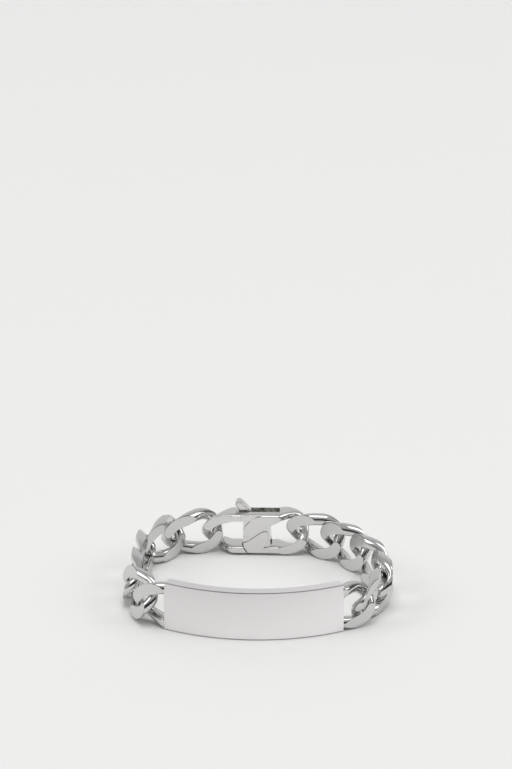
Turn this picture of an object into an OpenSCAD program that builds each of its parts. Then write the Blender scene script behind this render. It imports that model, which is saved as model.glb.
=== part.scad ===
// Identity bracelet of twisted and filed curb links, closed and standing on its edge.
// Millimetres. X runs along the plate, Y from the plate in front to the clasp behind, Z up.
// The origin is under the middle of the whole bracelet, on the surface that it stands on.

/* [Plate] */
// Length of the plate, straight across its ends
plate_length = 45; // [44:0.5:46]
// Height of the plate
plate_height = 13.1; // [12.9:0.1:13.5]
// Thickness of the plate
plate_thick = 3; // [2.8:0.1:3.2]
// Radius of the plate's outer face
plate_radius = 50.8; // [50:0.1:52]
// Rounding of the plate's long edges
plate_edge = 0.3; // [0.1:0.05:0.5]

/* [Links] */
// Half the length of a link, to the middle of its wire
link_half_length = 6.8; // [6.7:0.05:6.9]
// Half the height of a link, to the middle of its wire
link_half_height = 4.55; // [4.5:0.05:4.6]
// How far the twist carries the wire out of the link's own plane
link_twist = 2; // [1.9:0.05:2.1]
// Radius of the wire along the long sides
wire_side = 1.6; // [1.4:0.05:1.65]
// Radius of the wire round the ends
wire_end = 1.4; // [1.2:0.05:1.42]
// Thickness over the two filed faces
filed_thick = 3.2; // [3:0.1:3.4]
// Squareness of a link's outline, where 2 is an ellipse
squareness = 2.2; // [2.1:0.1:2.4]
// Number of wire sections round a link
link_rings = 44; // [36:4:60]
// Number of sides of the wire's section
wire_sides = 12; // [10:1:16]
// How far a soldered half link's ends run into the plate
solder_depth = 0.6; // [0.3:0.1:1]
// Height of the soldered half links over the surface
solder_lift = 0.15; // [0.1:0.05:0.4]

/* [Clasp] */
// Height of the clasp's body
clasp_height = 11.6; // [11.4:0.1:11.8]
// Depth of the clasp's body, from its front face to its back face
clasp_depth = 5.4; // [5.2:0.1:5.6]
// Distance of the clasp's middle plane behind the plate's face
clasp_back = 48.6; // [48.4:0.1:48.8]
// Place of the clasp's middle along X, from the middle of the plate
clasp_side = -0.5; // [-0.7:0.1:-0.3]
// Height of the clasp's lowest side over the surface
clasp_lift = 0.2; // [0.1:0.1:0.4]
// Height of the bars over and under the clasp's openings
clasp_bar = 2.3; // [2.1:0.1:2.4]
// Distance of the hook's centre from the clasp's middle
hook_reach = 6.2; // [6.1:0.1:6.3]
// Distance of the ring's centre from the clasp's middle
ring_reach = 5.7; // [5.6:0.1:5.9]
// How far the twist carries the ends of the hook and the ring out of the clasp's middle plane
clasp_twist = 2.8; // [2.7:0.1:2.9]
// Thickness of the wire at the ends of the hook and the ring
clasp_end_thick = 2.7; // [2.5:0.1:2.8]
// Width of the wire at the ends of the hook and the ring, seen from the front
clasp_end_bar = 2.5; // [2.3:0.1:2.6]
// Depth of the clasp's middle between its raised lobes
middle_depth = 4.8; // [4.6:0.1:5.2]
// Width of the slot that the lever works in
slot_width = 2.8; // [2.7:0.1:3]
// Distance of the slot's middle behind the clasp's middle plane
slot_back = 0.5; // [0.3:0.1:0.6]
// Thickness of the lever
lever_thick = 2.4; // [2.2:0.1:2.5]
// Radius of the lever's pin
pin_radius = 0.6; // [0.5:0.05:0.7]
// Space round the pin in the lever's bore
pin_play = 0.05; // [0.02:0.01:0.1]
// Gap that parts the gate from the body at each of its ends
gate_gap = 0.2; // [0.15:0.05:0.3]

/* [Hidden] */
$fn = 96;
silver = [0.78, 0.78, 0.79];
filed_silver = [0.7, 0.7, 0.72];
pin_steel = [0.6, 0.6, 0.62];

// A side's links from the plate to the clasp, the soldered half link first. Columns of both tables:
// heading in degrees, step from the link before in mm, lean of its top towards the wrist in degrees
heading = 0;
step = 1;
lean = 2;
right_chain = [
  [26, 0.9, 0],
  [60, 9.7, -6],
  [97, 9.85, -9],
  [118, 9.85, -5],
  [135, 9.9, 1],
  [153, 9.6, 2]
];
left_chain = [
  [25, 0.9, 0],
  [66, 9.15, 11],
  [94, 10, 9],
  [102, 9.85, 0],
  [131, 9.65, 1],
  [162, 9.6, 3]
];

// The bracelet's middle, seen from the middle of the plate's face
middle = [0.5, 25.7];
plate_turn = asin(plate_length / 2 / plate_radius);
plate_mid_radius = plate_radius - plate_thick / 2;
plate_end = [plate_mid_radius * sin(plate_turn), plate_radius - plate_mid_radius * cos(plate_turn)];

function unit(v) = v / norm(v);
function along(angle) = [cos(angle), sin(angle)];
function swell(value, power) = sign(value) * pow(abs(value), 2 / power);

// The middle of a link's wire at an angle round the link: X along the chain, Y towards the wrist, Z up
function wire_way(t) = [
  link_half_length * swell(cos(t), squareness),
  link_twist * sin(2 * t),
  link_half_height * swell(sin(t), squareness)
];
function wire_run(t) = unit(wire_way(t + 0.5) - wire_way(t - 0.5));
function wire_out(t) = let (run = wire_run(t), p = wire_way(t)) unit(p - (p * run) * run);
function wire_radius(t) = wire_side - (wire_side - wire_end) * cos(t) * cos(t);
function wire_section(t) =
  let (out = wire_out(t), side = cross(wire_run(t), out))
  [for (k = [0 : wire_sides - 1])
    let (turn = 360 * k / wire_sides) wire_way(t) + wire_radius(t) * (cos(turn) * out + sin(turn) * side)];

// Faces of a closed tube of rings of points
function tube_faces(rings, sides) = [
  for (i = [0 : rings - 1], k = [0 : sides - 1])
    let (next = (i + 1) % rings * sides, turned = (k + 1) % sides)
    each [[i * sides + k, next + turned, i * sides + turned], [i * sides + k, next + k, next + turned]]
];

// Places of a side's links, from the middle of the plate's face, and their height when they stand
function chain_place(chain, k) = k == 0
  ? plate_end + chain[0][step] * along(chain[0][heading])
  : chain_place(chain, k - 1) + chain[k][step] * along((chain[k][heading] + chain[k - 1][heading]) / 2);
function standing_height(tilt) = max([
  for (t = [180 : 3 : 360])
    let (p = wire_way(t)) wire_radius(t) + p.y * sin(tilt) - p.z * cos(tilt)
]);

// A link: twisted wire between the two planes of its filed faces
module filed_link() {
  intersection() {
    polyhedron(
      [for (i = [0 : link_rings - 1]) each wire_section(360 * (i + 0.5) / link_rings)],
      tube_faces(link_rings, wire_sides)
    );
    cube([3 * link_half_length, filed_thick, 4 * link_half_height], center = true);
  }
}

// The far half of a link, for the plate's end on the right (side 1) or on the left (side -1)
module half_link(side, kept) {
  intersection() {
    filed_link();
    translate([side * (link_half_length - kept), 0, 0])
      cube([2 * link_half_length, 4 * filed_thick, 4 * link_half_height], center = true);
  }
}

// Stands its children at a place in a side's chain
module in_chain(side, k, lift) {
  chain = side == 1 ? right_chain : left_chain;
  place = chain_place(chain, k);
  translate([side * place.x - middle.x, place.y - middle.y, standing_height(chain[k][lean]) + lift])
    rotate([-chain[k][lean], 0, side * chain[k][heading]])
    children();
}

// Section of the plate, across its thickness and its height
module plate_section() {
  inner = plate_radius - plate_thick;
  translate([inner, plate_edge])
    square([plate_thick, plate_height - 2 * plate_edge]);
  translate([inner + plate_edge, 0])
    square([plate_thick - 2 * plate_edge, plate_height]);
  for (x = [inner + plate_edge, plate_radius - plate_edge], z = [plate_edge, plate_height - plate_edge])
    translate([x, z])
    circle(plate_edge);
}

module id_plate() {
  color(silver)
  union() {
    translate([-middle.x, plate_radius - middle.y, 0])
      rotate([0, 0, -90 - plate_turn])
      rotate_extrude(angle = 2 * plate_turn, $fn = 180)
      plate_section();
    in_chain(1, 0, solder_lift)
      half_link(1, right_chain[0][step] + solder_depth);
    in_chain(-1, 0, solder_lift)
      half_link(-1, left_chain[0][step] + solder_depth);
  }
}

module link(side, k) {
  color(filed_silver)
  in_chain(side, k, 0)
    filed_link();
}

// The clasp, in its own place: X along it to the viewer's right, Y back, Z up from its lowest side
hook_x = -hook_reach;
ring_x = ring_reach;
frame_half_height = (clasp_height - clasp_bar) / 2;
frame_rings = 15;
frame_sides = 16;
corner_power = 5;
pivot = [-0.3, 4];
gate_hold = [-3.9, 1.1];
hold_radius = 0.6;
boss_radius = 1.5;
lever_room = 0.25;
// Turn of the lever when the clasp is open
lever_turn = 26;
// Slope of the cuts at the gate's ends, and where they meet the clasp's lowest side
gate_slope = 33.5;
gate_left = -6.85;
gate_right = -1.9;

// Middle of the clasp's frame at an angle round the hook or the ring, in X and Z
function frame_way(t) = [
  link_half_length * swell(cos(t), squareness),
  frame_half_height * swell(sin(t), squareness)
];
function frame_out(t) = let (run = unit(frame_way(t + 0.5) - frame_way(t - 0.5))) [run.y, -run.x];
function frame_section(centre, t) =
  let (
    p = frame_way(t),
    out = frame_out(t),
    rise = sin(t) * sin(t),
    half_bar = clasp_end_bar / 2 + (clasp_bar - clasp_end_bar) / 2 * rise,
    half_deep = clasp_end_thick / 2 + (clasp_depth - clasp_end_thick) / 2 * rise,
    back = clasp_twist * sin(2 * t)
  )
  [for (k = [0 : frame_sides - 1])
    let (
      turn = 360 * (k + 0.5) / frame_sides,
      across = half_bar * swell(cos(turn), corner_power),
      deep = half_deep * swell(sin(turn), corner_power)
    )
    [centre + p.x + across * out.x, back + deep, clasp_height / 2 + p.y + across * out.y]];

// The frame runs over the hook, along the lowest side and up round the ring, and is filed flat
module clasp_frame() {
  stations = concat(
    [for (i = [0 : frame_rings]) frame_section(hook_x, 90 + 180 * i / frame_rings)],
    [for (i = [0 : frame_rings]) frame_section(ring_x, -90 + 180 * i / frame_rings)]
  );
  intersection() {
    polyhedron([for (ring = stations) each ring], tube_faces(len(stations), frame_sides));
    translate([0, 0, clasp_height / 2])
      cube([3 * clasp_height, clasp_depth, 2 * clasp_height], center = true);
  }
}

// Extrudes a front outline in X and Z from one depth to another
module across(from, to) {
  translate([0, to, 0])
    rotate([90, 0, 0])
    linear_extrude(to - from)
    children();
}

// A bar with round ends of two sizes, outlined by its two tangents
module round_bar(start, end, start_radius, end_radius) {
  way = unit(end - start);
  spread = acos((start_radius - end_radius) / norm(end - start));
  base = atan2(way.y, way.x);
  polygon([
    start + start_radius * along(base + spread),
    start + start_radius * along(base - spread),
    end + end_radius * along(base - spread),
    end + end_radius * along(base + spread)
  ]);
  translate(start)
    circle(start_radius);
  translate(end)
    circle(end_radius);
}

// A lens between two arcs, for the raised lobes on the clasp's middle
module lens(centre, long, wide, turn) {
  radius = (long * long + wide * wide) / (4 * wide);
  translate(centre)
    rotate(turn)
    intersection() {
      translate([0, radius - wide / 2])
        circle(radius);
      translate([0, wide / 2 - radius])
        circle(radius);
    }
}

// The clasp's middle, whose two lobes look like the crossing ends of two links
junction_left = -3.2;
junction_right = 3.65;
module junction_outline() {
  translate([junction_left, clasp_bar / 2])
    square([junction_right - junction_left, clasp_height - clasp_bar]);
}
module lobes() {
  intersection() {
    junction_outline();
    union() {
      lens([1.4, 8.8], 12.4, 4.5, 30);
      lens([0.6, 3.1], 9.4, 3.5, 40);
    }
  }
}

// The space between the two slanted cuts at the gate's ends
module gate_space(gap) {
  top = 4;
  shift = top * tan(gate_slope);
  below = 1;
  under = below * tan(gate_slope);
  spread = gap / 2 / cos(gate_slope);
  polygon([
    [gate_left + under - spread, -below],
    [gate_right + under + spread, -below],
    [gate_right - shift + spread, top],
    [gate_left - shift - spread, top]
  ]);
}

// Room in the clasp's middle for the lever's arm and boss, open at the top as the slot
slot_left = -4.45;
slot_right = 6.1;
slot_floor = 10.2;
module lever_pocket() {
  polygon([
    [slot_left, clasp_height + 1], [slot_right, clasp_height + 1], [slot_right, slot_floor],
    [2.8, slot_floor], [2.3, 7], [1.6, 4], [-2, 4], [-2.75, 7], [-3.5, 9.6], [slot_left, clasp_height]
  ]);
  round_bar(pivot, gate_hold, boss_radius + lever_room, hold_radius + lever_room);
  round_bar(pivot, open_place(gate_hold), boss_radius + lever_room, hold_radius + lever_room);
  translate([pivot.x, 2])
    square([junction_right + 0.35 - pivot.x, 1.6]);
}
function open_place(p) = let (away = p - pivot)
  pivot + [away.x * cos(lever_turn) + away.y * sin(lever_turn), away.y * cos(lever_turn) - away.x * sin(lever_turn)];

module in_clasp() {
  translate([clasp_side - middle.x, clasp_back - middle.y, clasp_lift])
    children();
}

module pin_hole(radius) {
  across(-2, clasp_depth)
    translate(pivot)
    circle(radius);
}

module clasp_body() {
  color(silver)
  in_clasp()
  difference() {
    union() {
      clasp_frame();
      across(-middle_depth / 2, middle_depth / 2)
        junction_outline();
      across(-clasp_depth / 2, 0)
        lobes();
      translate([junction_left + junction_right, 0, 0])
        rotate([0, 0, 180])
        across(-clasp_depth / 2, 0)
        lobes();
    }
    across(-clasp_depth, clasp_depth)
      gate_space(gate_gap);
    across(slot_back - slot_width / 2, slot_back + slot_width / 2)
      lever_pocket();
    pin_hole(pin_radius);
  }
}

// The lever's outline: its arm from the boss up to the leaning thumb tab
module lever_outline() {
  polygon([
    [1.2, 4.6], [0.4, 7.5], [-0.5, 10.1], [-1.5, 11.7], [-3.55, 13.95],
    [-5.35, 13.4], [-4.25, 11.8], [-3.3, 9.6], [-2.5, 7], [-1.9, 4.4]
  ]);
  translate([-4.4, 13.4])
    circle(1);
  round_bar(pivot, gate_hold, boss_radius, hold_radius);
}

module clasp_lever() {
  color(silver)
  in_clasp()
  difference() {
    union() {
      intersection() {
        clasp_frame();
        across(-clasp_depth, clasp_depth)
          gate_space(-gate_gap);
      }
      across(slot_back - lever_thick / 2, slot_back + lever_thick / 2)
        lever_outline();
    }
    pin_hole(pin_radius + pin_play);
  }
}

module clasp_pin() {
  color(pin_steel)
  in_clasp()
  across(-2, clasp_depth / 2)
    translate(pivot)
    circle(pin_radius);
}

id_plate();
link(1, 1);  // link_right_1
link(1, 2);  // link_right_2
link(1, 3);  // link_right_3
link(1, 4);  // link_right_4
link(1, 5);  // link_right_5
link(-1, 1);  // link_left_1
link(-1, 2);  // link_left_2
link(-1, 3);  // link_left_3
link(-1, 4);  // link_left_4
link(-1, 5);  // link_left_5
clasp_body();
clasp_lever();
clasp_pin();
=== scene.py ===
import math

import bpy
from mathutils import Matrix, Vector


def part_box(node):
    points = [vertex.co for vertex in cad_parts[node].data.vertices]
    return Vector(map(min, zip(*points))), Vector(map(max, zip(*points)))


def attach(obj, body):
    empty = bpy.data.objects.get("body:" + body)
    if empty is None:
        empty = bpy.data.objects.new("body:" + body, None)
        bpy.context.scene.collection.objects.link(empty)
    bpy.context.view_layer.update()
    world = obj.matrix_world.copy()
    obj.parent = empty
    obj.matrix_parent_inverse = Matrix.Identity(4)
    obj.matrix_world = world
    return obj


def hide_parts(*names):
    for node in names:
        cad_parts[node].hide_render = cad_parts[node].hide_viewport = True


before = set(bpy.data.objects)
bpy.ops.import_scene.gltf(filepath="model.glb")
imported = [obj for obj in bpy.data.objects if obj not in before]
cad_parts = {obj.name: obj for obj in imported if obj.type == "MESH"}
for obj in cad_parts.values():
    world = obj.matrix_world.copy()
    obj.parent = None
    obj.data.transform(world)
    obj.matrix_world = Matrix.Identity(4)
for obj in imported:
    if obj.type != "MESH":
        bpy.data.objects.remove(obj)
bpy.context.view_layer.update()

scene = bpy.context.scene
millimetre = 0.001      # sizes are in millimetres, and become metres where a mesh or a pattern is made


# Small helpers

def hexColour(text):
    # an sRGB hex value as a linear colour
    channels = [int(text[i:i + 2], 16) / 255 for i in (1, 3, 5)]
    return [c / 12.92 if c <= 0.04045 else ((c + 0.055) / 1.055) ** 2.4 for c in channels] + [1]


def addNode(tree, kind, inputs=(), **settings):
    # inputs are values, or sockets to link, in order or by name
    node = tree.nodes.new(kind)
    for name, value in settings.items():
        setattr(node, name, value)
    for key, value in (inputs.items() if isinstance(inputs, dict) else enumerate(inputs)):
        if isinstance(value, bpy.types.NodeSocket):
            tree.links.new(value, node.inputs[key])
        else:
            node.inputs[key].default_value = value
    return node


def newObject(name, points, faces=()):
    # points are in millimetres, in the bracelet's own frame
    mesh = bpy.data.meshes.new(name)
    mesh.from_pydata([Vector(p) * millimetre for p in points], [], list(faces))
    thing = bpy.data.objects.new(name, mesh)
    scene.collection.objects.link(thing)
    return thing


def plainMesh(thing):
    # the evaluated shape becomes the object's own mesh, and its modifiers go
    graph = bpy.context.evaluated_depsgraph_get()
    graph.update()
    finished = bpy.data.meshes.new_from_object(thing.evaluated_get(graph), depsgraph=graph)
    thing.modifiers.clear()
    thing.data = finished


def roundEdges(thing, width, steps, over):
    # only edges that turn by more than `over` degrees
    rounding = thing.modifiers.new("rounded edges", "BEVEL")
    rounding.width = width * millimetre
    rounding.segments = steps
    rounding.limit_method = "ANGLE"
    rounding.angle_limit = math.radians(over)
    plainMesh(thing)


# Materials

satinPlate = {
    # the bright tone, and the greyer tone of the painted shade
    "colours": ("#FCF9FA", "#E3E0E1"),
    "paintedShade": (-0.22, 0, 1),      # the way in which the painted shade grows: to the top, and a little to the left
    "paintedShadeReach": (-3, 16),      # mm along that way, from no painted shade to full painted shade
    "lessShadeFacingUp": 9,              # mm less painted shade on faces that look up, such as the upper edge
    "roughness": (0.30, 0.38),
    "grain": 0.25,              # mm, width of the satin lines, coarser than the real ones so that they show
    "grainLength": 16.7,        # mm
    "grainHeight": 0.0004,      # mm
}

polishedWire = {
    "colour": "#D6D6D5",
    "paintedReflectionColour": "#666665",    # painted reflection: the dark line, painted where the file met the wire, that stands for the dark room
    "roughness": 0.1,
    "filedRoughness": 0.26,
    "wave": 2.2,                # mm, unevenness left by the file and the buffing wheel
    "waveHeight": 0.02,         # mm
}

castClasp = {
    "colour": "#DAD9D8",
    "roughness": (0.12, 0.2),
    "wave": 3.0,                # mm
    "waveHeight": 0.012,        # mm
    "edge": 0.25,               # mm, the buffing wheel's rounding of every edge
    "edgeSamples": 6,
}

innerFaces = {
    # a dark and a pale tone mixed at random; the dull inner colour is partly oxide and partly painted shade
    "colours": ("#3E3D38", "#C9C8C0"),
    "stain": 1.3,               # mm
    "stainShare": (0.35, 0.6),
    "roughness": 0.45,
}

noiseReach = (0.3, 0.7)         # where most values of a noise lie


def newMaterial(name):
    material = bpy.data.materials.new(name)
    material.use_nodes = True
    tree = material.node_tree
    return material, tree, tree.nodes["Principled BSDF"]


def makeSatinSilver(values):
    # sterling silver, satin finished with a fine belt: soft broad reflections, no sharp picture, and a
    # painted shade that darkens it towards the top and the left
    material, tree, shader = newMaterial("satinSterlingSilver")
    given = addNode(tree, "ShaderNodeTexCoord").outputs
    place = given["Object"]
    lines = (1000 / values["grainLength"], 1000 / values["grainLength"], 1000 / values["grain"])
    stretched = addNode(tree, "ShaderNodeMapping", {"Vector": place, "Scale": lines})
    grain = addNode(tree, "ShaderNodeTexNoise", {"Vector": stretched.outputs[0], "Scale": 1, "Detail": 3})
    rough = addNode(tree, "ShaderNodeMapRange", [grain.outputs["Fac"], *noiseReach, *values["roughness"]])
    depth = values["grainHeight"] * millimetre
    bump = addNode(tree, "ShaderNodeBump", {"Strength": 1, "Distance": depth, "Height": grain.outputs["Fac"]})

    # painted shade: the tone goes from bright to grey towards the plate's top and left, and less where the
    # face looks up
    along = addNode(tree, "ShaderNodeVectorMath", [place, values["paintedShade"]], operation="DOT_PRODUCT")
    facing = addNode(tree, "ShaderNodeSeparateXYZ", [given["Normal"]])
    eased = addNode(tree, "ShaderNodeMath",
                    [facing.outputs["Z"], -values["lessShadeFacingUp"] * millimetre, along.outputs["Value"]],
                    operation="MULTIPLY_ADD")
    clear, fullShade = (reach * millimetre for reach in values["paintedShadeReach"])
    paintedShade = addNode(tree, "ShaderNodeMapRange", [eased.outputs[0], clear, fullShade, 0, 1])
    bright, grey = (hexColour(text) for text in values["colours"])
    tone = addNode(tree, "ShaderNodeMix", {0: paintedShade.outputs[0], 6: bright, 7: grey}, data_type="RGBA")
    tree.links.new(tone.outputs[2], shader.inputs["Base Color"])
    shader.inputs["Metallic"].default_value = 1
    tree.links.new(rough.outputs[0], shader.inputs["Roughness"])
    tree.links.new(bump.outputs[0], shader.inputs["Normal"])
    return material


def makePolishedSilver(name, values, filed):
    # sterling silver, buffed to a mirror with low waves; filed flats are softer, with a painted dark line
    # round them, a painted reflection of the dark room
    material, tree, shader = newMaterial(name)
    place = addNode(tree, "ShaderNodeTexCoord").outputs["Object"]
    wave = addNode(tree, "ShaderNodeTexNoise",
                   {"Vector": place, "Scale": 1000 / values["wave"], "Detail": 1.5})
    depth = values["waveHeight"] * millimetre
    bump = addNode(tree, "ShaderNodeBump", {"Strength": 1, "Distance": depth, "Height": wave.outputs["Fac"]})
    colour = hexColour(values["colour"])
    if filed:
        flat = addNode(tree, "ShaderNodeAttribute", attribute_name="filed")
        rough = addNode(tree, "ShaderNodeMapRange",
                        [flat.outputs["Fac"], 0, 1, values["roughness"], values["filedRoughness"]])
        # painted reflection: the base colour darkens to grey along the line round each flat
        edge = addNode(tree, "ShaderNodeAttribute", attribute_name="edge")
        line = hexColour(values["paintedReflectionColour"])
        tone = addNode(tree, "ShaderNodeMix", {0: edge.outputs["Fac"], 6: colour, 7: line}, data_type="RGBA")
        tree.links.new(tone.outputs[2], shader.inputs["Base Color"])
    else:
        rough = addNode(tree, "ShaderNodeMapRange", [wave.outputs["Fac"], *noiseReach, *values["roughness"]])
        eased = addNode(tree, "ShaderNodeBevel", [values["edge"] * millimetre], samples=values["edgeSamples"])
        tree.links.new(eased.outputs[0], bump.inputs["Normal"])
        shader.inputs["Base Color"].default_value = colour
    shader.inputs["Metallic"].default_value = 1
    tree.links.new(rough.outputs[0], shader.inputs["Roughness"])
    tree.links.new(bump.outputs[0], shader.inputs["Normal"])
    return material


def makeInnerSilver(values):
    # the same silver left as cast inside the slot, under a dull grey skin that hides the metal: partly oxide,
    # and partly painted shade that darkens the hollow
    material, tree, shader = newMaterial("oxideAndShadeInnerSilver")
    place = addNode(tree, "ShaderNodeTexCoord").outputs["Object"]
    stain = addNode(tree, "ShaderNodeTexNoise",
                    {"Vector": place, "Scale": 1000 / values["stain"], "Detail": 3})
    share = addNode(tree, "ShaderNodeMapRange", [stain.outputs["Fac"], *values["stainShare"], 0, 1])
    dark, pale = (hexColour(text) for text in values["colours"])
    tone = addNode(tree, "ShaderNodeMix", {0: share.outputs[0], 6: dark, 7: pale}, data_type="RGBA")
    tree.links.new(tone.outputs[2], shader.inputs["Base Color"])
    shader.inputs["Roughness"].default_value = values["roughness"]
    return material


plateSilver = makeSatinSilver(satinPlate)
wireSilver = makePolishedSilver("buffedSterlingWire", polishedWire, True)
claspSilver = makePolishedSilver("polishedCastSilver", castClasp, False)
innerSilver = makeInnerSilver(innerFaces)
print("materials made")


# The plate's arc and the two chains: where every link stands, worked out from the plate's ends

plate = {
    "length": 45, "height": 13.1, "thick": 3.0, "radius": 50.8,     # the radius is the outer face's
    "topChamfer": 0.2, "topTurn": 24,       # height of the fine chamfer, and degrees that it turns back
    "footChamfer": 0.3, "footTurn": 60,
    "crown": 0.32,                          # how far the face falls back towards its top
    "edge": 0.1, "edgeSteps": 3, "edgeOver": 70, "sharpOver": 14,
    "faceSteps": 12, "segments": 72,
}
# for each link from the plate to the clasp: heading in degrees, step from the last one in mm, lean in degrees
rightChain = [(26, 0.9, 0), (60, 9.7, -6), (97, 9.85, -9), (118, 9.85, -5), (135, 9.9, 1), (153, 9.6, 2)]
leftChain = [(25, 0.9, 0), (66, 9.15, 11), (94, 10, 9), (102, 9.85, 0), (131, 9.65, 1), (162, 9.6, 3)]
chains = (("right", 1, rightChain), ("left", -1, leftChain))
middle = Vector((0.5, 25.7))        # the bracelet's middle, from the middle of the plate's face
plateTurn = math.asin(plate["length"] / 2 / plate["radius"])
plateMidRadius = plate["radius"] - plate["thick"] / 2
plateEnd = Vector((plateMidRadius * math.sin(plateTurn),
                   plate["radius"] - plateMidRadius * math.cos(plateTurn)))


def chainPlaces(chain):
    # centres from the plate's end to the clasp, each step along the mean of two headings
    places = []
    at = plateEnd
    for k, (heading, step, lean) in enumerate(chain):
        way = math.radians(heading if k == 0 else (heading + chain[k - 1][0]) / 2)
        at = at + step * Vector((math.cos(way), math.sin(way)))
        places.append(at)
    return places


# Node groups and steps that the links and the clasp share

hair = 0.0005           # added before rounding down, so that an exact ratio never falls short
weldReach = 0.002       # mm
turnStep = 0.5          # degrees before and after a turn, between which the wire's direction is measured


def newTree(name, sockets, output):
    # sockets holds each kind of input with its names, in order
    tree = bpy.data.node_groups.new(name, "GeometryNodeTree")
    for kind, names in sockets:
        for socketName in names:
            tree.interface.new_socket(socketName, in_out="INPUT", socket_type="NodeSocket" + kind)
    tree.interface.new_socket(output[1], in_out="OUTPUT", socket_type="NodeSocket" + output[0])
    return tree, addNode(tree, "NodeGroupInput").outputs


def swellGroup():
    # a wave pressed towards the corners: 2 keeps a circle, more makes it squarer
    tree, given = newTree("swell", [("Float", ("Wave", "Squareness"))], ("Float", "Swelled"))
    power = addNode(tree, "ShaderNodeMath", [2, given["Squareness"]], operation="DIVIDE")
    side = addNode(tree, "ShaderNodeMath", [given["Wave"]], operation="SIGN")
    size = addNode(tree, "ShaderNodeMath", [given["Wave"]], operation="ABSOLUTE")
    swelled = addNode(tree, "ShaderNodeMath", [size.outputs[0], power.outputs[0]], operation="POWER")
    signed = addNode(tree, "ShaderNodeMath", [side.outputs[0], swelled.outputs[0]], operation="MULTIPLY")
    addNode(tree, "NodeGroupOutput", [signed.outputs[0]])
    return tree


def wireMiddleGroup():
    # middle of the wire at a turn round the link: a squared-off ellipse that the twist carries sideways
    names = ("Turn", "Half length", "Half height", "Twist", "Squareness")
    tree, given = newTree("wireMiddle", [("Float", names)], ("Vector", "Middle"))
    across = []
    for kind, reach in (("COSINE", "Half length"), ("SINE", "Half height")):
        wave = addNode(tree, "ShaderNodeMath", [given["Turn"]], operation=kind)
        swelled = addNode(tree, "GeometryNodeGroup", [wave.outputs[0], given["Squareness"]], node_tree=swell)
        size = addNode(tree, "ShaderNodeMath", [swelled.outputs[0], given[reach]], operation="MULTIPLY")
        across.append(size.outputs[0])
    double = addNode(tree, "ShaderNodeMath", [given["Turn"], 2], operation="MULTIPLY")
    sway = addNode(tree, "ShaderNodeMath", [double.outputs[0]], operation="SINE")
    carried = addNode(tree, "ShaderNodeMath", [sway.outputs[0], given["Twist"]], operation="MULTIPLY")
    point = addNode(tree, "ShaderNodeCombineXYZ", [across[0], carried.outputs[0], across[1]])
    addNode(tree, "NodeGroupOutput", [point.outputs[0]])
    return tree


swell = swellGroup()
wireMiddle = wireMiddleGroup()


def middleAt(tree, given, turn, offset=0):
    # the wire's middle at a turn, or some degrees after it
    moved = addNode(tree, "ShaderNodeMath", [turn, math.radians(offset)], operation="ADD")
    inputs = {name: given[name] for name in ("Half length", "Half height", "Twist", "Squareness")}
    inputs["Turn"] = moved.outputs[0]
    return addNode(tree, "GeometryNodeGroup", inputs, node_tree=wireMiddle).outputs[0]


def chordAt(tree, given, turn):
    ahead, behind = middleAt(tree, given, turn, turnStep), middleAt(tree, given, turn, -turnStep)
    return addNode(tree, "ShaderNodeVectorMath", [ahead, behind], operation="SUBTRACT").outputs[0]


def sheetOfPoints(tree, rows, across):
    # a grid to be shaped into a tube, with each point's row and its place in the row
    sheet = addNode(tree, "GeometryNodeMeshGrid", {"Vertices X": rows, "Vertices Y": across}).outputs["Mesh"]
    index = addNode(tree, "GeometryNodeInputIndex").outputs[0]
    ratio = addNode(tree, "ShaderNodeMath", [index, across], operation="DIVIDE")
    ratioUp = addNode(tree, "ShaderNodeMath", [ratio.outputs[0], hair], operation="ADD")
    row = addNode(tree, "ShaderNodeMath", [ratioUp.outputs[0]], operation="FLOOR").outputs[0]
    begun = addNode(tree, "ShaderNodeMath", [row, across], operation="MULTIPLY")
    side = addNode(tree, "ShaderNodeMath", [index, begun.outputs[0]], operation="SUBTRACT").outputs[0]
    return sheet, row, side


def pressFlat(tree, place, halfThick, corner):
    # what stands past a flat, in front or behind, is pressed back to it with a soft corner
    parts = addNode(tree, "ShaderNodeSeparateXYZ", [place]).outputs
    nearer = addNode(tree, "ShaderNodeMath", [parts["Y"], halfThick, corner], operation="SMOOTH_MIN")
    front = addNode(tree, "ShaderNodeMath", [0, halfThick], operation="SUBTRACT")
    pressed = addNode(tree, "ShaderNodeMath", [nearer.outputs[0], front.outputs[0], corner],
                      operation="SMOOTH_MAX")
    return addNode(tree, "ShaderNodeCombineXYZ", [parts["X"], pressed.outputs[0], parts["Z"]]).outputs[0]


def finishTree(tree, given, sheet, shape):
    # the sheet takes its shape, is welded and stands on every point of the holder
    small = addNode(tree, "ShaderNodeVectorMath", {0: shape, "Scale": millimetre}, operation="SCALE")
    formed = addNode(tree, "GeometryNodeSetPosition", {"Geometry": sheet, "Position": small.outputs[0]})
    welded = addNode(tree, "GeometryNodeMergeByDistance",
                     {"Geometry": formed.outputs[0], "Distance": weldReach * millimetre})
    smooth = addNode(tree, "GeometryNodeSetShadeSmooth", {"Geometry": welded.outputs[0]})
    stand = addNode(tree, "GeometryNodeInputNamedAttribute", {"Name": "stand"}, data_type="FLOAT_VECTOR")
    stood = addNode(tree, "FunctionNodeEulerToRotation", [stand.outputs[0]])
    placed = addNode(tree, "GeometryNodeInstanceOnPoints", {
        "Points": given["Geometry"], "Instance": smooth.outputs[0], "Rotation": stood.outputs[0]})
    real = addNode(tree, "GeometryNodeRealizeInstances", {"Geometry": placed.outputs[0]})
    finished = addNode(tree, "GeometryNodeSetMaterial",
                       {"Geometry": real.outputs[0], "Material": given["Material"]})
    addNode(tree, "NodeGroupOutput", [finished.outputs[0]])


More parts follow.
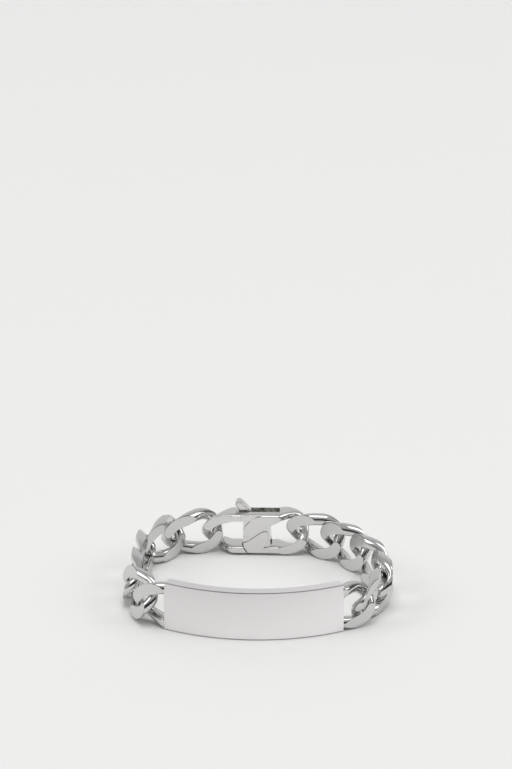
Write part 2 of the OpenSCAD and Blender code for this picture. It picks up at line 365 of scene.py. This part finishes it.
def onPoints(name, tree, points, stands, values):
    # one plain mesh with the tree's form on every point, turned by its stand
    holder = newObject(name, points)
    attribute = holder.data.attributes.new("stand", "FLOAT_VECTOR", "POINT")
    for k, stand in enumerate(stands):
        attribute.data[k].vector = stand
    modifier = holder.modifiers.new("build", "NODES")
    modifier.node_group = tree
    for item in tree.interface.items_tree:
        if item.in_out == "INPUT" and item.name in values:
            modifier[item.identifier] = values[item.name]
    plainMesh(holder)
    if holder.data.materials[0] is None:
        holder.data.materials.pop(index=0)      # the points had no material of their own
    return holder


# The curb links: one twisted and filed link, set on points along each side

link = {
    "Half length": 6.8, "Half height": 4.55, "Twist": 2.0, "Squareness": 2.2,
    "Side radius": 1.6, "End radius": 1.4, "Filed thickness": 3.2, "Corner": 0.2,
    "Stations": 120, "Flat steps": 8, "Round steps": 18, "First turn": 0.0, "Last turn": 2 * math.pi,
    "Ends shut": 0.0, "Material": wireSilver,
}
# the filed finish, and the painted dark line of reflection round each flat
fileMarks = {
    "fade": 0.06,           # mm past the flat, over which the filed finish ends
    "line": (0.16, 0.04),   # mm from the flat's level, from no painted line to the full painted dark line
    "depth": (0.3, 0.9),    # mm filed away, from no painted line to the full painted line
}


def wireDirections(tree, given, turn):
    # the two directions square to the wire: one that faces the flats and one beside it
    chord = chordAt(tree, given, turn)
    run = addNode(tree, "ShaderNodeVectorMath", [chord], operation="NORMALIZE").outputs[0]
    runY = addNode(tree, "ShaderNodeSeparateXYZ", [run]).outputs["Y"]
    share = addNode(tree, "ShaderNodeVectorMath", {0: run, "Scale": runY}, operation="SCALE")
    lifted = addNode(tree, "ShaderNodeVectorMath", [(0, 1, 0), share.outputs[0]], operation="SUBTRACT")
    facing = addNode(tree, "ShaderNodeVectorMath", [lifted.outputs[0]], operation="NORMALIZE").outputs[0]
    beside = addNode(tree, "ShaderNodeVectorMath", [facing, run], operation="CROSS_PRODUCT").outputs[0]
    return facing, beside


def sectionAngle(tree, given, side, halfThick, centreY, reach):
    # Angle of a point round the wire. Points gather at the edges of the two flats: half the angle
    # of each flat comes from how far its plane lies from the wire's middle.
    flats = []
    for kind in ("SUBTRACT", "ADD"):
        room = addNode(tree, "ShaderNodeMath", [halfThick, centreY], operation=kind)
        part = addNode(tree, "ShaderNodeMath", [room.outputs[0], reach], operation="DIVIDE")
        held = addNode(tree, "ShaderNodeClamp", [part.outputs[0], -1, 1])
        flats.append(addNode(tree, "ShaderNodeMath", [held.outputs[0]], operation="ARCCOSINE").outputs[0])
    both = addNode(tree, "ShaderNodeMath", flats, operation="ADD")
    rounded = addNode(tree, "ShaderNodeMath", [math.pi, both.outputs[0]], operation="SUBTRACT").outputs[0]
    angle = addNode(tree, "ShaderNodeMath", [0, flats[0]], operation="SUBTRACT").outputs[0]
    begin = addNode(tree, "ShaderNodeValue").outputs[0]
    for width, steps, times in ((flats[0], "Flat steps", 2), (rounded, "Round steps", 1),
                                (flats[1], "Flat steps", 2), (rounded, "Round steps", 1)):
        end = addNode(tree, "ShaderNodeMath", [begin, given[steps]], operation="ADD").outputs[0]
        span = addNode(tree, "ShaderNodeMath", [width, times], operation="MULTIPLY")
        ramp = addNode(tree, "ShaderNodeMapRange", [side, begin, end, 0, span.outputs[0]],
                       interpolation_type="SMOOTHSTEP")
        angle = addNode(tree, "ShaderNodeMath", [angle, ramp.outputs[0]], operation="ADD").outputs[0]
        begin = end
    return angle


def openShare(tree, given, station):
    # 1 along the wire, and 0 at the shut ends of an open piece, where the ring shrinks to a point
    first = addNode(tree, "ShaderNodeMath", [station, 0.5], operation="LESS_THAN")
    beforeLast = addNode(tree, "ShaderNodeMath", [given["Stations"], 0.5], operation="SUBTRACT")
    last = addNode(tree, "ShaderNodeMath", [station, beforeLast.outputs[0]], operation="GREATER_THAN")
    atEnd = addNode(tree, "ShaderNodeMath", [first.outputs[0], last.outputs[0]], operation="ADD")
    shut = addNode(tree, "ShaderNodeMath", [atEnd.outputs[0], given["Ends shut"]], operation="MULTIPLY")
    return addNode(tree, "ShaderNodeMath", [1, shut.outputs[0]], operation="SUBTRACT").outputs[0]


def markFlats(tree, sheet, place, halfThick, centreY, reach):
    # the material's two attributes: filed on the flats, and edge on the painted dark line of reflection round
    # them
    depthY = addNode(tree, "ShaderNodeSeparateXYZ", [place]).outputs["Y"]
    outside = addNode(tree, "ShaderNodeMath", [depthY], operation="ABSOLUTE").outputs[0]
    faded = addNode(tree, "ShaderNodeMath", [halfThick, fileMarks["fade"]], operation="ADD")
    filed = addNode(tree, "ShaderNodeMapRange", [outside, halfThick, faded.outputs[0], 0, 1])
    beyond = addNode(tree, "ShaderNodeMath", [outside, halfThick], operation="SUBTRACT")
    away = addNode(tree, "ShaderNodeMath", [beyond.outputs[0]], operation="ABSOLUTE")
    line = addNode(tree, "ShaderNodeMapRange", [away.outputs[0], *fileMarks["line"], 0, 1])
    # no painted line where the file only just touched the wire
    half = addNode(tree, "ShaderNodeMath", [depthY], operation="SIGN")
    sway = addNode(tree, "ShaderNodeMath", [half.outputs[0], centreY], operation="MULTIPLY")
    furthest = addNode(tree, "ShaderNodeMath", [sway.outputs[0], reach], operation="ADD")
    depth = addNode(tree, "ShaderNodeMath", [furthest.outputs[0], halfThick], operation="SUBTRACT")
    worked = addNode(tree, "ShaderNodeMapRange", [depth.outputs[0], *fileMarks["depth"], 0, 1])
    edge = addNode(tree, "ShaderNodeMath", [line.outputs[0], worked.outputs[0]], operation="MULTIPLY")
    for name, value in (("filed", filed), ("edge", edge)):
        sheet = addNode(tree, "GeometryNodeStoreNamedAttribute",
                        {"Geometry": sheet, "Name": name, "Value": value.outputs[0]},
                        data_type="FLOAT", domain="POINT").outputs[0]
    return sheet


def curbLinkTree():
    # stations round the link, each a circle square to the wire, pressed between the two filed flats
    tree, given = newTree("curbLinks", [
        ("Geometry", ("Geometry",)), ("Int", ("Stations", "Flat steps", "Round steps")),
        ("Float", ("Half length", "Half height", "Twist", "Squareness", "Side radius", "End radius",
                   "Filed thickness", "Corner", "First turn", "Last turn", "Ends shut")),
        ("Material", ("Material",))], ("Geometry", "Geometry"))
    steps = addNode(tree, "ShaderNodeMath", [given["Flat steps"], given["Round steps"]], operation="ADD")
    sides = addNode(tree, "ShaderNodeMath", [steps.outputs[0], 2], operation="MULTIPLY")
    across = addNode(tree, "ShaderNodeMath", [sides.outputs[0], 1], operation="ADD")
    rings = addNode(tree, "ShaderNodeMath", [given["Stations"], 1], operation="ADD")
    sheet, station, side = sheetOfPoints(tree, rings.outputs[0], across.outputs[0])
    turn = addNode(tree, "ShaderNodeMapRange",
                   [station, 0, given["Stations"], given["First turn"], given["Last turn"]]).outputs[0]
    centre = middleAt(tree, given, turn)
    facing, beside = wireDirections(tree, given, turn)

    cosine = addNode(tree, "ShaderNodeMath", [turn], operation="COSINE")
    cosineSquare = addNode(tree, "ShaderNodeMath", [cosine.outputs[0], 2], operation="POWER")
    radius = addNode(tree, "ShaderNodeMapRange",
                     [cosineSquare.outputs[0], 0, 1, given["Side radius"], given["End radius"]])
    facingY = addNode(tree, "ShaderNodeSeparateXYZ", [facing]).outputs["Y"]
    centreY = addNode(tree, "ShaderNodeSeparateXYZ", [centre]).outputs["Y"]
    reach = addNode(tree, "ShaderNodeMath", [radius.outputs[0], facingY], operation="MULTIPLY").outputs[0]
    halfThick = addNode(tree, "ShaderNodeMath", [given["Filed thickness"], 2], operation="DIVIDE").outputs[0]

    angle = sectionAngle(tree, given, side, halfThick, centreY, reach)
    thickness = addNode(tree, "ShaderNodeMath", [radius.outputs[0], openShare(tree, given, station)],
                        operation="MULTIPLY")
    place = centre
    for direction, kind in ((facing, "COSINE"), (beside, "SINE")):
        part = addNode(tree, "ShaderNodeMath", [angle], operation=kind)
        long = addNode(tree, "ShaderNodeMath", [part.outputs[0], thickness.outputs[0]], operation="MULTIPLY")
        move = addNode(tree, "ShaderNodeVectorMath", {0: direction, "Scale": long.outputs[0]},
                       operation="SCALE")
        place = addNode(tree, "ShaderNodeVectorMath", [place, move.outputs[0]], operation="ADD").outputs[0]
    marked = markFlats(tree, sheet, place, halfThick, centreY, reach)
    finishTree(tree, given, marked, pressFlat(tree, place, halfThick, given["Corner"]))
    return tree


linkTree = curbLinkTree()
for sideName, mirror, chain in chains:
    points = []
    stands = []
    nodes = []
    for k, at in enumerate(chainPlaces(chain)):
        if k == 0:
            continue                # the soldered half link belongs to the plate
        heading, _, lean = chain[k]
        nodes.append(f"link_{sideName}_{k}")
        low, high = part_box(nodes[-1])
        points.append((mirror * at.x - middle.x, at.y - middle.y, (low.z + high.z) / 2 / millimetre))
        stands.append((math.radians(-lean), 0, math.radians(mirror * heading)))
    row = onPoints(sideName + "Links", linkTree, points, stands, link)
    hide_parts(*nodes)
    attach(row, "bracelet")
    print(row.name, "made", len(row.data.vertices), "vertices")


# The plate, with a half link soldered to each end

def plateBar(values):
    # one upright section, from the foot of the face round to the foot of the back, carried along the arc
    top = values["topChamfer"] * math.tan(math.radians(values["topTurn"]))
    foot = values["footChamfer"] * math.tan(math.radians(values["footTurn"]))
    high, deep = values["height"], values["thick"]
    begin, end = values["footChamfer"], high - values["topChamfer"]
    section = [(foot, 0)]
    for i in range(values["faceSteps"] + 1):
        t = i / values["faceSteps"]
        section.append((values["crown"] * max(2 * t - 1, 0) ** 2, begin + t * (end - begin)))
    section += [(values["crown"] + top, high), (deep, high), (deep, 0)]
    n = len(section)
    points = []
    faces = []
    for i in range(values["segments"] + 1):
        turn = plateTurn * (2 * i / values["segments"] - 1)
        for inward, z in section:
            radius = values["radius"] - inward
            points.append((radius * math.sin(turn) - middle.x,
                           values["radius"] - radius * math.cos(turn) - middle.y, z))
    for i in range(values["segments"]):
        for k in range(n):
            a, b = n * i + k, n * i + (k + 1) % n
            faces.append((a, a + n, b + n, b))
    last = n * values["segments"]
    faces += [tuple(range(n)), tuple(reversed(range(last, last + n)))]
    bar = newObject("idPlate", points, faces)
    bar.data.shade_smooth()
    bar.data.materials.append(plateSilver)
    roundEdges(bar, values["edge"], values["edgeSteps"], values["edgeOver"])
    bar.data.set_sharp_from_angle(angle=math.radians(values["sharpOver"]))
    return bar


idPlate = plateBar(plate)
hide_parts("id_plate")
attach(idPlate, "bracelet")

soldered = {
    "lift": 0.15,           # mm over the surface
    "reach": 101,           # degrees that the wire runs past its far end, to both sides
    "Stations": 72, "Ends shut": 1.0,
}
for sideName, mirror, chain in chains:
    at = chainPlaces(chain)[0]
    height = link["Half height"] + link["Side radius"] + soldered["lift"]
    farEnd = 0 if mirror == 1 else math.pi
    reach = math.radians(soldered["reach"])
    half = onPoints(sideName + "PlateLoop", linkTree,
                    [(mirror * at.x - middle.x, at.y - middle.y, height)],
                    [(0, 0, math.radians(mirror * chain[0][0]))],
                    {**link, **soldered, "First turn": farEnd - reach, "Last turn": farEnd + reach})
    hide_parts("id_plate")
    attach(half, "bracelet")
print("plate and its loops made")


# The clasp's body: a frame swept over hook and ring and filed flat, with a carved middle

clasp = {
    "Hook centre": -6.2, "Ring centre": 5.7, "Half length": 6.8, "Half height": 4.575, "Squareness": 2.2,
    "Bar": 2.45, "End bar": 2.5, "Depth": 6.0, "End thickness": 2.7, "Twist": 2.8, "Height": 11.6,
    "Corner power": 2.6, "Pressed depth": 5.5, "Corner": 0.12, "Rise power": 4.0,
    "Stations": 44, "Sides": 64, "Material": claspSilver,
    "filedDepth": 5.4, "carved": 0.3,
    "middleDraft": 0.11, "middleCentre": 0.22,      # the middle's back is wider by that part
    "sharpOver": 28,
}
claspAt = Vector((-1.0, 22.9, 0.2))     # its lowest side's middle, in the bracelet's frame
through = 4                             # mm, past the clasp's front and back
past = clasp["Height"] + 1              # mm, over the clasp's top


def claspFrameTree():
    # Stations over the hook, along the lowest side and up round the ring, each a rounded rectangle.
    # The bar is pressed to a little more than the finished depth, with soft corners, and filed flat later.
    tree, given = newTree("claspFrame", [
        ("Geometry", ("Geometry",)), ("Int", ("Stations", "Sides")),
        ("Float", ("Hook centre", "Ring centre", "Half length", "Half height", "Squareness", "Bar", "End bar",
                   "Depth", "End thickness", "Twist", "Corner power", "Pressed depth", "Corner", "Rise power",
                   "Height")),
        ("Material", ("Material",))], ("Geometry", "Geometry"))
    half = addNode(tree, "ShaderNodeMath", [given["Stations"], 1], operation="ADD")
    whole = addNode(tree, "ShaderNodeMath", [half.outputs[0], 2], operation="MULTIPLY")
    rows = addNode(tree, "ShaderNodeMath", [whole.outputs[0], 1], operation="ADD")
    across = addNode(tree, "ShaderNodeMath", [given["Sides"], 1], operation="ADD")
    sheet, row, side = sheetOfPoints(tree, rows.outputs[0], across.outputs[0])

    # the last row closes the frame on the first one
    beforeLast = addNode(tree, "ShaderNodeMath", [whole.outputs[0], 0.5], operation="SUBTRACT")
    closing = addNode(tree, "ShaderNodeMath", [row, beforeLast.outputs[0]], operation="GREATER_THAN")
    back = addNode(tree, "ShaderNodeMath", [closing.outputs[0], whole.outputs[0]], operation="MULTIPLY")
    station = addNode(tree, "ShaderNodeMath", [row, back.outputs[0]], operation="SUBTRACT")

    # the first half of the stations swings down the hook, and the other half up the ring
    nearHalf = addNode(tree, "ShaderNodeMath", [half.outputs[0], 0.5], operation="SUBTRACT")
    onRing = addNode(tree, "ShaderNodeMath", [station.outputs[0], nearHalf.outputs[0]],
                     operation="GREATER_THAN")
    passed = addNode(tree, "ShaderNodeMath", [onRing.outputs[0], half.outputs[0]], operation="MULTIPLY")
    step = addNode(tree, "ShaderNodeMath", [station.outputs[0], passed.outputs[0]], operation="SUBTRACT")
    swung = addNode(tree, "ShaderNodeMapRange",
                    [step.outputs[0], 0, given["Stations"], math.pi / 2, math.pi * 3 / 2])
    over = addNode(tree, "ShaderNodeMath", [onRing.outputs[0], math.pi], operation="MULTIPLY")
    turned = addNode(tree, "ShaderNodeMath", [swung.outputs[0], over.outputs[0]], operation="SUBTRACT")
    turn = turned.outputs[0]
    centreX = addNode(tree, "ShaderNodeMapRange",
                      [onRing.outputs[0], 0, 1, given["Hook centre"], given["Ring centre"]])
    chord = chordAt(tree, given, turn)
    level = addNode(tree, "ShaderNodeVectorMath", [chord, (1, 0, 1)], operation="MULTIPLY")
    run = addNode(tree, "ShaderNodeVectorMath", [level.outputs[0]], operation="NORMALIZE")
    out = addNode(tree, "ShaderNodeVectorMath", [run.outputs[0], (0, 1, 0)], operation="CROSS_PRODUCT")

    # half sizes of the section, which grows from the thin ends to the upper and lower bars
    sine = addNode(tree, "ShaderNodeMath", [turn], operation="SINE")
    rise = addNode(tree, "ShaderNodeMath", [sine.outputs[0], given["Rise power"]], operation="POWER")
    reach = []
    for ends, middles in (("End bar", "Bar"), ("End thickness", "Depth")):
        size = addNode(tree, "ShaderNodeMapRange", [rise.outputs[0], 0, 1, given[ends], given[middles]])
        reach.append(addNode(tree, "ShaderNodeMath", [size.outputs[0], 0.5], operation="MULTIPLY"))
    part = addNode(tree, "ShaderNodeMath", [side, 0.5], operation="ADD")
    angle = addNode(tree, "ShaderNodeMapRange", [part.outputs[0], 0, given["Sides"], 0, 2 * math.pi],
                    clamp=False)
    spans = []              # across the bar in the clasp's plane, and through its depth
    for kind, size in zip(("COSINE", "SINE"), reach):
        wave = addNode(tree, "ShaderNodeMath", [angle.outputs[0]], operation=kind)
        square = addNode(tree, "GeometryNodeGroup", [wave.outputs[0], given["Corner power"]], node_tree=swell)
        span = addNode(tree, "ShaderNodeMath", [square.outputs[0], size.outputs[0]], operation="MULTIPLY")
        spans.append(span.outputs[0])

    aside = addNode(tree, "ShaderNodeVectorMath", {0: out.outputs[0], "Scale": spans[0]}, operation="SCALE")
    halfHigh = addNode(tree, "ShaderNodeMath", [given["Height"], 0.5], operation="MULTIPLY")
    moved = addNode(tree, "ShaderNodeCombineXYZ", [centreX.outputs[0], spans[1], halfHigh.outputs[0]])
    centre = middleAt(tree, given, turn)
    wide = addNode(tree, "ShaderNodeVectorMath", [centre, aside.outputs[0]], operation="ADD")
    place = addNode(tree, "ShaderNodeVectorMath", [wide.outputs[0], moved.outputs[0]], operation="ADD")
    halfDeep = addNode(tree, "ShaderNodeMath", [given["Pressed depth"], 0.5], operation="MULTIPLY")
    finishTree(tree, given, sheet, pressFlat(tree, place.outputs[0], halfDeep.outputs[0], given["Corner"]))
    return tree


def smoothOutline(points, steps):
    # a closed curve through all the points
    outline = []
    for i, b in enumerate(points):
        a, c, d = (Vector(points[(i + k) % len(points)]) for k in (-1, 1, 2))
        b = Vector(b)
        for k in range(steps):
            t = k / steps
            outline.append(0.5 * (2 * b + (c - a) * t + (2 * a - 5 * b + 4 * c - d) * t ** 2
                                  + (3 * b - a - 3 * c + d) * t ** 3))
    return outline


def arcOutline(centre, radius, begin, end, steps):
    turns = [math.radians(begin + (end - begin) * i / steps) for i in range(steps + 1)]
    return [(centre[0] + radius * math.cos(t), centre[1] + radius * math.sin(t)) for t in turns]


def roundOutline(centre, radius, sides=48):
    return arcOutline(centre, radius, 0, 360 - 360 / sides, sides - 1)


def roundBar(start, end, startRadius, endRadius, steps=24):
    # a bar with round ends of two sizes, joined by their tangents
    way = Vector(end) - Vector(start)
    spread = math.degrees(math.acos((startRadius - endRadius) / way.length))
    base = math.degrees(math.atan2(way.y, way.x))
    return (arcOutline(start, startRadius, base + spread, base - spread + 360, steps)
            + arcOutline(end, endRadius, base - spread, base + spread, steps))


def slab(name, outline, front, back, material=claspSilver, draft=0):
    # a front outline, in X and Z of the clasp, carried from one depth to another; a draft widens
    # the back by that part of its width
    n = len(outline)
    points = [Vector((p[0] * grown, depth, p[1])) + claspAt
              for depth, grown in ((front, 1), (back, 1 + draft)) for p in outline]
    faces = [tuple(range(n)), tuple(reversed(range(n, 2 * n)))]
    faces += [((i + 1) % n, i, n + i, n + (i + 1) % n) for i in range(n)]
    thing = newObject(name, points, faces)
    thing.data.materials.append(material)
    return thing


def combine(base, other, operation):
    joined = base.modifiers.new("combine", "BOOLEAN")
    joined.object = other
    joined.operation = operation
    joined.solver = "EXACT"
    joined.material_mode = "TRANSFER"
    plainMesh(base)
    bpy.data.objects.remove(other)


def fileFlat(thing):
    # front and back are filed to the finished depth; the block reaches round the whole clasp
    block = [(-20, -3), (20, -3), (20, 15), (-20, 15)]
    combine(thing, slab("filing", block, -clasp["filedDepth"] / 2, clasp["filedDepth"] / 2), "INTERSECT")


def finishedMetal(thing):
    # smooth curves, crisp filed edges
    thing.data.shade_smooth()
    thing.data.set_sharp_from_angle(angle=math.radians(clasp["sharpOver"]))
    weighted = thing.modifiers.new("even flats", "WEIGHTED_NORMAL")
    weighted.keep_sharp = True
    weighted.weight = 100
    plainMesh(thing)


frameTree = claspFrameTree()
middleOutline = [(-3.2, 1.15), (3.6, 1.15), (3.6, 8.4), (4.6, 8.9), (5.7, 9.45), (5.7, 10.45), (-3.2, 10.45)]
# where the middle is cut back round its two lobes, which look like the crossing ends of two links
upperRecess = [(-4, 12.5), (-4, 7.4), (-3.02, 7.4), (-2.96, 7.9), (-2.62, 8.45), (-2.28, 8.87), (-1.7, 9.42),
               (-1.07, 9.94), (-0.5, 10.35), (0.13, 10.7), (1.5, 11.3), (2.2, 12.5)]
middleRecess = [(-4, 5.5), (-4, 3.4), (-3.2, 3.45), (-2.1, 3.8), (-0.2, 5.2), (1.3, 6.3), (2.02, 6.72),
                (2.8, 6.73), (3.1, 5.94), (3.12, 4.9), (3.06, 4.0), (2.8, 3.2), (2.36, 2.5), (1.9, 2.0),
                (2.7, 2.1), (3.4, 2.3), (4.3, 2.35), (4.3, 8.6), (3.2, 8.3), (1.5, 7.1), (0, 5.95),
                (-1.42, 5.07), (-2.2, 5.12), (-3.05, 5.35)]
gate = {
    "left": -6.85, "right": -1.9,       # where its two cuts meet the clasp's lowest level
    "slope": 33.5,                      # degrees
    "low": -1, "high": 4, "gap": 0.2,
}
slot = {
    "middle": 0.5, "width": 2.8,        # through the clasp's depth
    "left": -4.45, "right": 6.1, "floor": 10.2,
    "slit": (2, 3.6), "slitEnd": 4,     # its two levels, and where it runs out towards the ring
}
pin = {"at": (-0.3, 4), "radius": 0.6, "front": -2, "back": 5}
lever = {
    "opens": 26,            # degrees
    "boss": 1.5, "hold": 0.6, "holdAt": (-3.9, 1.1),        # radii of the hub and of its end in the gate
    "tabAt": (-4.4, 13.4), "tab": 1, "tabTurn": (33, 185),  # the tab's round end: radius, and degrees
    "thick": 2.4, "bossThick": 2.3, "bore": 0.65, "rounding": 0.3, "roundSteps": 4, "roundOver": 60,
    "room": 0.25,           # mm that its pocket is wider all round
}


def gateOutline(gap):
    # the slanted cuts at the gate's ends, up to over the lowest bar, widened by a gap or narrowed by it
    slope = math.radians(gate["slope"])
    spread = gap / 2 / math.cos(slope)
    low, high = gate["low"], gate["high"]
    return [(gate[end] - z * math.tan(slope) + way * spread, z)
            for end, way, z in (("left", -1, low), ("right", 1, low), ("right", 1, high), ("left", -1, high))]


def turnedOpen(point):
    away = Vector(point) - Vector(pin["at"])
    away.rotate(Matrix.Rotation(-math.radians(lever["opens"]), 2))
    return Vector(pin["at"]) + away


claspBody = onPoints("claspBody", frameTree, [claspAt], [(0, 0, 0)], clasp)
combine(claspBody, slab("middle", middleOutline, -through, through, draft=clasp["middleDraft"]), "UNION")
fileFlat(claspBody)
carvedTo = clasp["filedDepth"] / 2 - clasp["carved"]
for recess in (upperRecess, middleRecess):
    combine(claspBody, slab("recess", recess, -through, -carvedTo), "DIFFERENCE")
    behind = [(2 * clasp["middleCentre"] - p[0], p[1]) for p in reversed(recess)]
    combine(claspBody, slab("recess", behind, carvedTo, through), "DIFFERENCE")
combine(claspBody, slab("gate", gateOutline(gate["gap"]), -through, through), "DIFFERENCE")

# the slot from the top down to the pin, the lever's room when it is shut and when it is open,
# and the slit at the slot's foot, open towards the ring
left, right, floorHigh = slot["left"], slot["right"], slot["floor"]
slotOutline = [(left, past), (left, clasp["Height"]), (-3.5, 9.6), (-2.75, 7), (-2, 4), (1.6, 4), (2.3, 7),
               (2.8, floorHigh), (right, floorHigh), (right, past)]
boss, hold = lever["boss"] + lever["room"], lever["hold"] + lever["room"]
slitLow, slitHigh = slot["slit"]
slit = [(pin["at"][0], slitLow), (slot["slitEnd"], slitLow), (slot["slitEnd"], slitHigh),
        (pin["at"][0], slitHigh)]
slotFront, slotBack = slot["middle"] - slot["width"] / 2, slot["middle"] + slot["width"] / 2
# the cut faces inside the slot take the inner material, partly oxide and partly painted shade
for outline in (slotOutline, roundBar(pin["at"], lever["holdAt"], boss, hold),
                roundBar(pin["at"], turnedOpen(lever["holdAt"]), boss, hold), slit):
    combine(claspBody, slab("pocket", outline, slotFront, slotBack, innerSilver), "DIFFERENCE")
bore = slab("bore", roundOutline(pin["at"], pin["radius"]), pin["front"], pin["back"])
combine(claspBody, bore, "DIFFERENCE")
finishedMetal(claspBody)
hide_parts("clasp_body")
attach(claspBody, "bracelet")
print("clasp body made", len(claspBody.data.vertices), "vertices")


# The lever: an arm that ends in the thumb tab, its hub on the pin, and the gate

rightSide = [(1.2, 4.6), (0.8, 6), (0.4, 7.5), (-0.5, 10.1), (-1.5, 11.7), (-2.6, 12.95)]
leftSide = [(-5.0, 12.7), (-4.3, 11.7), (-3.3, 9.6), (-2.5, 7), (-2.15, 5.5), (-1.9, 4.4)]
tabEnd = arcOutline(lever["tabAt"], lever["tab"], *lever["tabTurn"], 8)
armOutline = smoothOutline(rightSide + tabEnd + leftSide, 3)
halfArm, halfBoss = lever["thick"] / 2, lever["bossThick"] / 2
claspLever = slab("claspLever", armOutline, slot["middle"] - halfArm, slot["middle"] + halfArm)
roundEdges(claspLever, lever["rounding"], lever["roundSteps"], lever["roundOver"])
hub = slab("hub", roundBar(pin["at"], lever["holdAt"], lever["boss"], lever["hold"]),
           slot["middle"] - halfBoss, slot["middle"] + halfBoss)
combine(claspLever, hub, "UNION")
gateBar = onPoints("gateBar", frameTree, [claspAt], [(0, 0, 0)], clasp)
fileFlat(gateBar)
combine(gateBar, slab("gate", gateOutline(-gate["gap"]), -through, through), "INTERSECT")
combine(claspLever, gateBar, "UNION")
combine(claspLever, slab("bore", roundOutline(pin["at"], lever["bore"]), -through, through), "DIFFERENCE")
finishedMetal(claspLever)
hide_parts("clasp_lever")
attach(claspLever, "lever")
print("lever made", len(claspLever.data.vertices), "vertices")

# the hinge pin keeps its modelled shape; its riveted ends are buffed with the clasp
for pinSlot in bpy.data.objects["clasp_pin"].material_slots:
    pinSlot.material = claspSilver


# The floor, the light and the camera

floorValues = {"colour": "#EFEFEE", "roughness": 0.9, "specular": 0.1, "half": 3000}


def makeFloor(values):
    # matte studio paper: no reflection to see, only the bracelet's soft shadow
    material, tree, shader = newMaterial("mattePaper")
    shader.inputs["Base Color"].default_value = hexColour(values["colour"])
    shader.inputs["Roughness"].default_value = values["roughness"]
    shader.inputs["Specular IOR Level"].default_value = values["specular"]
    h = values["half"]
    floor = newObject("floor", [(-h, -h, 0), (h, -h, 0), (h, h, 0), (-h, h, 0)], [(0, 1, 2, 3)])
    floor.data.materials.append(material)


makeFloor(floorValues)

# The studio room that the metal reflects. It is pale grey to the left; each other side has its tone,
# and the axis along which it fades in, from one share of the way to another.
room = {
    "left": "#B0B0B0", "right": ("#545454", "X", -0.4, 0.6), "camera side": ("#2A2A2A", "Y", -0.4, -0.65),
    "ceiling": ("#B8B8B8", "Z", 0.4, 0.7), "far wall": ("#D8D8D8", "Y", 0.35, 0.75),
}


def makeRoom(values):
    world = bpy.data.worlds.new("studio")
    scene.world = world
    world.use_nodes = True
    tree = world.node_tree
    where = addNode(tree, "ShaderNodeTexCoord").outputs["Generated"]
    parts = addNode(tree, "ShaderNodeSeparateXYZ", [where]).outputs
    colour = hexColour(values["left"])
    for name in ("right", "camera side", "ceiling", "far wall"):
        tone, axis, begin, end = values[name]
        share = addNode(tree, "ShaderNodeMapRange", [parts[axis], begin, end, 0, 1],
                        interpolation_type="SMOOTHSTEP")
        colour = addNode(tree, "ShaderNodeMix", {0: share.outputs[0], 6: colour, 7: hexColour(tone)},
                         data_type="RGBA").outputs[2]
    tree.links.new(colour, tree.nodes["Background"].inputs["Color"])


makeRoom(room)

# The key hangs high overhead, a little to the camera's side, and is kept out of the metal's reflections,
# as a polariser does. The small boxes overhead and at the sides are what the wire's white streaks show.
lamps = {
    "keyPanel": {"at": (300, -900, 6100), "size": 4200, "watts": 95, "reflected": False},
    "overheadBox": {"at": (0, -300, 2500), "size": 1300, "watts": 10.5, "reflected": True},
    "leftBox": {"at": (-1800, -300, 1500), "size": 1000, "watts": 7.5, "reflected": True},
    "rightBox": {"at": (1900, -200, 1400), "size": 1200, "watts": 10, "reflected": True},
}
for name, values in lamps.items():
    light = bpy.data.lights.new(name, "AREA")
    light.size = values["size"] * millimetre
    light.energy = values["watts"]
    lamp = bpy.data.objects.new(name, light)
    lamp.location = Vector(values["at"]) * millimetre
    lamp.rotation_mode = "QUATERNION"
    lamp.rotation_quaternion = (-lamp.location).to_track_quat("-Z", "Y")
    lamp.visible_glossy = values["reflected"]
    scene.collection.objects.link(lamp)

cameraValues = {
    "aim": (-0.5, 0.3, 0), "distance": 1000, "elevation": 27.99, "azimuth": 1.456,
    "raise": 3.029,     # degrees that the camera looks over the bracelet, which stands low in the frame
    "lens": 183.2, "sensor": 36, "clip": (50, 20000),
}


def makeCamera(values):
    data = bpy.data.cameras.new("camera")
    data.lens = values["lens"]
    data.sensor_width = values["sensor"]
    data.clip_start, data.clip_end = (reach * millimetre for reach in values["clip"])
    camera = bpy.data.objects.new("camera", data)
    scene.collection.objects.link(camera)
    elevation, azimuth = math.radians(values["elevation"]), math.radians(values["azimuth"])
    back = Vector((math.sin(azimuth) * math.cos(elevation), -math.cos(azimuth) * math.cos(elevation),
                   math.sin(elevation)))
    camera.location = (Vector(values["aim"]) + values["distance"] * back) * millimetre
    camera.rotation_mode = "QUATERNION"
    tilt = Matrix.Rotation(math.radians(values["raise"]), 3, "X")
    camera.rotation_quaternion = ((-back).to_track_quat("-Z", "Y").to_matrix() @ tilt).to_quaternion()
    scene.camera = camera


makeCamera(cameraValues)
scene.view_settings.view_transform = "Standard"
print("floor, light and camera made")
